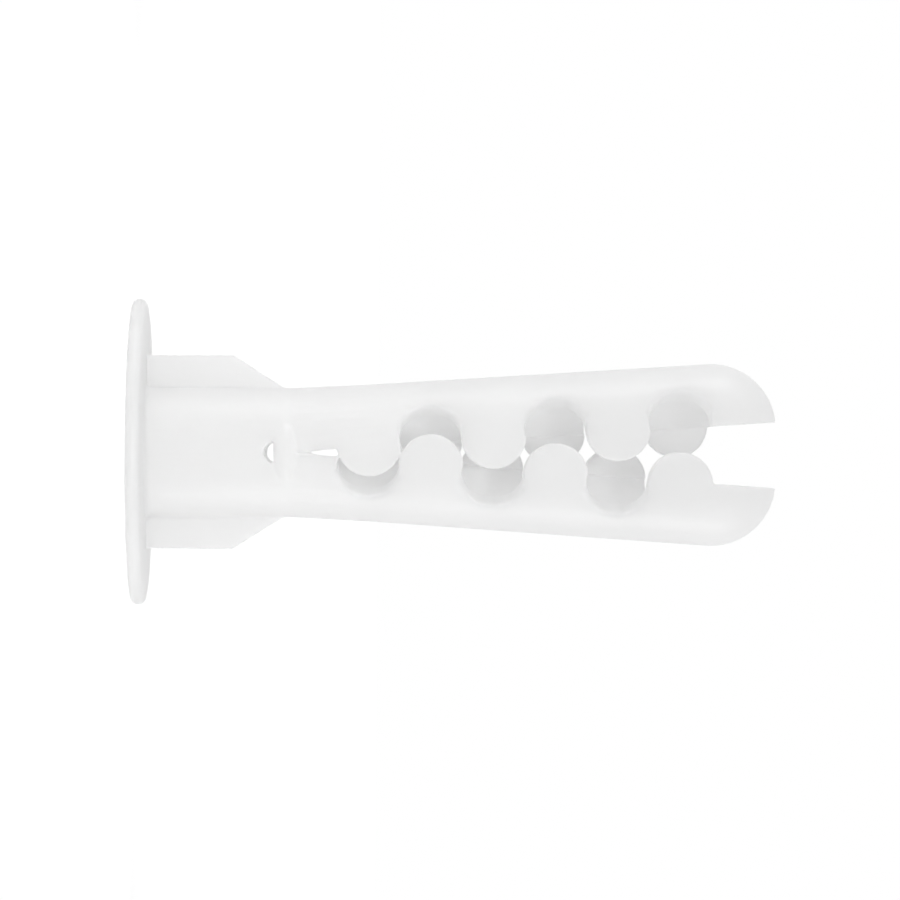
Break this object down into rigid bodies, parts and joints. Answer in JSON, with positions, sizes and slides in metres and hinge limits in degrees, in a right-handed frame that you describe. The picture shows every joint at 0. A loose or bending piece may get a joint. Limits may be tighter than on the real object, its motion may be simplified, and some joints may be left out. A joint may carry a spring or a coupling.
{
  "type": "flanged wall plug",
  "caption": "Moulded nylon wall plug with a broad flange, anti-turn fins and splayed legs whose rounded lobes interleave.",
  "frame": {"origin": "centre of the flange's outer face, which the plug stands on", "axes": "+Z along the plug from the flange to the tips; the legs spread along X and the bridge over the slit is on the -Y side"},
  "size_m": [0.019, 0.019, 0.0401],
  "materials": {
    "natural_nylon": "satin, slightly translucent"
  },
  "bodies": {
    "root": {"wall_plug": "natural_nylon"}
  },
  "joints": []
}
